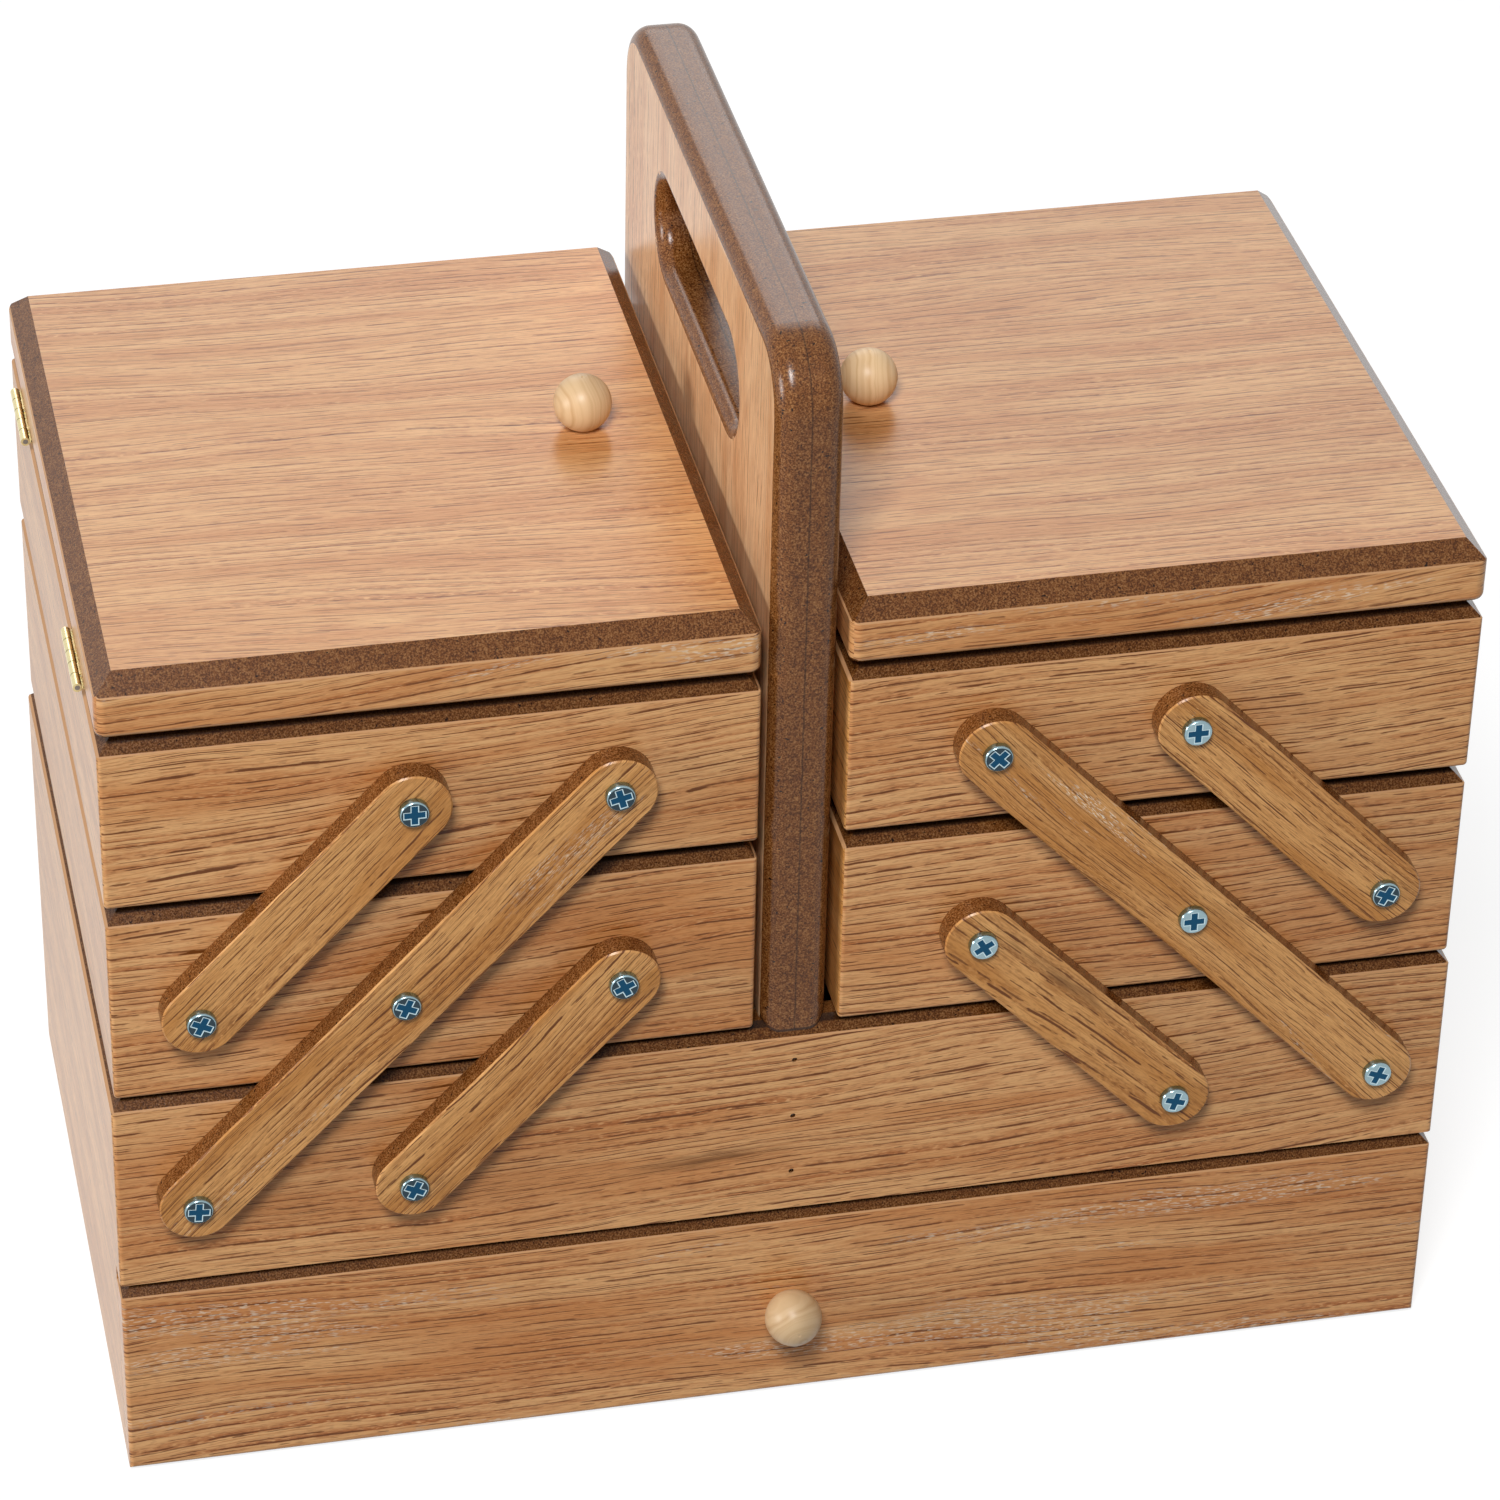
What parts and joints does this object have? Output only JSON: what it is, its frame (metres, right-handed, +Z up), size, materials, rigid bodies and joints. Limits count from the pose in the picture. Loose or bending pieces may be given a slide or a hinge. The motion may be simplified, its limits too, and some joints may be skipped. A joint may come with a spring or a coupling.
{
  "type": "sewing carrier",
  "caption": "Wooden cantilever sewing carrier: a base with a drawer and a carrying board, and trays with hinged lids that fold outwards on arms.",
  "frame": {"origin": "centre of the underside, on the surface that the carrier stands on", "axes": "+X to the right along the drawer front, +Y to the back, +Z up; the drawer opens towards -Y"},
  "size_m": [0.3532, 0.2182, 0.316],
  "materials": {
    "oak_veneer": "semi-gloss lacquered oak veneer on fibreboard, with bare fibreboard on the bevels",
    "oak_arms": "semi-gloss lacquered oak veneer on fibreboard",
    "plywood": "plain plywood",
    "drawer_wood": "plain sanded wood",
    "beech_knobs": "glossy lacquered beech",
    "zinc_screws": "bright zinc plate",
    "steel_brads": "dull steel",
    "steel_pins": "bright steel",
    "brass_hinges": "polished brass plate"
  },
  "bodies": {
    "base": {"base_back": "oak_veneer", "base_bottom": "plywood", "base_front": "oak_veneer", "base_left_side": "oak_veneer", "base_pivot_screws": "zinc_screws", "base_right_side": "oak_veneer", "base_shelf": "plywood", "handle_board": "oak_veneer", "handle_brads": "steel_brads"},
    "drawer": {"drawer_back": "drawer_wood", "drawer_bottom": "plywood", "drawer_front": "oak_veneer", "drawer_knob": "beech_knobs", "drawer_left_side": "drawer_wood", "drawer_right_side": "drawer_wood"},
    "left_long_arms": {"left_long_arms": "oak_arms"},
    "left_lower_arms": {"left_lower_arms": "oak_arms"},
    "left_upper_arms": {"left_upper_arms": "oak_arms"},
    "left_mid_tray": {"left_mid_tray_back": "oak_veneer", "left_mid_tray_floor": "plywood", "left_mid_tray_front": "oak_veneer", "left_mid_tray_inner_side": "oak_veneer", "left_mid_tray_outer_side": "oak_veneer", "left_mid_tray_pivot_screws": "zinc_screws"},
    "left_top_tray": {"left_top_tray_back": "oak_veneer", "left_top_tray_floor": "plywood", "left_top_tray_front": "oak_veneer", "left_top_tray_inner_side": "oak_veneer", "left_top_tray_outer_side": "oak_veneer", "left_top_tray_pivot_screws": "zinc_screws", "left_hinge_tray_leaves": "brass_hinges", "left_hinge_pins": "steel_pins", "left_hinge_tray_screws": "brass_hinges"},
    "left_lid": {"left_lid_board": "oak_veneer", "left_lid_knob": "beech_knobs", "left_hinge_lid_leaves": "brass_hinges", "left_hinge_lid_screws": "brass_hinges"},
    "right_long_arms": {"right_long_arms": "oak_arms"},
    "right_lower_arms": {"right_lower_arms": "oak_arms"},
    "right_upper_arms": {"right_upper_arms": "oak_arms"},
    "right_mid_tray": {"right_mid_tray_back": "oak_veneer", "right_mid_tray_floor": "plywood", "right_mid_tray_front": "oak_veneer", "right_mid_tray_inner_side": "oak_veneer", "right_mid_tray_outer_side": "oak_veneer", "right_mid_tray_pivot_screws": "zinc_screws"},
    "right_top_tray": {"right_top_tray_back": "oak_veneer", "right_top_tray_floor": "plywood", "right_top_tray_front": "oak_veneer", "right_top_tray_inner_side": "oak_veneer", "right_top_tray_outer_side": "oak_veneer", "right_top_tray_pivot_screws": "zinc_screws", "right_hinge_tray_leaves": "brass_hinges", "right_hinge_pins": "steel_pins", "right_hinge_tray_screws": "brass_hinges"},
    "right_lid": {"right_lid_board": "oak_veneer", "right_lid_knob": "beech_knobs", "right_hinge_lid_leaves": "brass_hinges", "right_hinge_lid_screws": "brass_hinges"}
  },
  "joints": [
    {"name": "drawer_slide", "type": "slide", "parent": "base", "child": "drawer", "axis": [0, -1, 0], "range_m": [0, 0.14]},
    {"name": "left_fold", "type": "hinge", "parent": "base", "child": "left_long_arms", "pos_m": [-0.155, 0, 0.0901], "axis": [0, -1, 0], "range_deg": [0, 86.5]},
    {"name": "left_lower_arm_swing", "type": "hinge", "parent": "base", "child": "left_lower_arms", "pos_m": [-0.1, 0, 0.0892], "axis": [0, -1, 0], "range_deg": [0, 86.5]},
    {"name": "left_mid_tray_level", "type": "hinge", "parent": "left_long_arms", "child": "left_mid_tray", "pos_m": [-0.1013, 0, 0.1465], "axis": [0, -1, 0], "range_deg": [-86.5, 0]},
    {"name": "left_top_tray_level", "type": "hinge", "parent": "left_long_arms", "child": "left_top_tray", "pos_m": [-0.0476, 0, 0.2029], "axis": [0, -1, 0], "range_deg": [-86.5, 0]},
    {"name": "left_upper_arm_swing", "type": "hinge", "parent": "left_mid_tray", "child": "left_upper_arms", "pos_m": [-0.1523, 0, 0.148], "axis": [0, -1, 0], "range_deg": [0, 86.5]},
    {"name": "left_lid_hinge", "type": "hinge", "parent": "left_top_tray", "child": "left_lid", "pos_m": [-0.1754, 0, 0.2286], "axis": [0, -1, 0], "range_deg": [0, 190]},
    {"name": "right_fold", "type": "hinge", "parent": "base", "child": "right_long_arms", "pos_m": [0.155, 0, 0.0901], "axis": [0, 1, 0], "range_deg": [0, 86.5]},
    {"name": "right_lower_arm_swing", "type": "hinge", "parent": "base", "child": "right_lower_arms", "pos_m": [0.1, 0, 0.0892], "axis": [0, 1, 0], "range_deg": [0, 86.5]},
    {"name": "right_mid_tray_level", "type": "hinge", "parent": "right_long_arms", "child": "right_mid_tray", "pos_m": [0.1013, 0, 0.1465], "axis": [0, 1, 0], "range_deg": [-86.5, 0]},
    {"name": "right_top_tray_level", "type": "hinge", "parent": "right_long_arms", "child": "right_top_tray", "pos_m": [0.0476, 0, 0.2029], "axis": [0, 1, 0], "range_deg": [-86.5, 0]},
    {"name": "right_upper_arm_swing", "type": "hinge", "parent": "right_mid_tray", "child": "right_upper_arms", "pos_m": [0.1523, 0, 0.148], "axis": [0, 1, 0], "range_deg": [0, 86.5]},
    {"name": "right_lid_hinge", "type": "hinge", "parent": "right_top_tray", "child": "right_lid", "pos_m": [0.1754, 0, 0.2286], "axis": [0, 1, 0], "range_deg": [0, 190]}
  ],
  "couplings": [
    {"joint": "left_lower_arm_swing", "follows": "left_fold", "ratio": 1},
    {"joint": "left_mid_tray_level", "follows": "left_fold", "ratio": -1},
    {"joint": "left_top_tray_level", "follows": "left_fold", "ratio": -1},
    {"joint": "left_upper_arm_swing", "follows": "left_fold", "ratio": 1},
    {"joint": "right_lower_arm_swing", "follows": "right_fold", "ratio": 1},
    {"joint": "right_mid_tray_level", "follows": "right_fold", "ratio": -1},
    {"joint": "right_top_tray_level", "follows": "right_fold", "ratio": -1},
    {"joint": "right_upper_arm_swing", "follows": "right_fold", "ratio": 1}
  ]
}
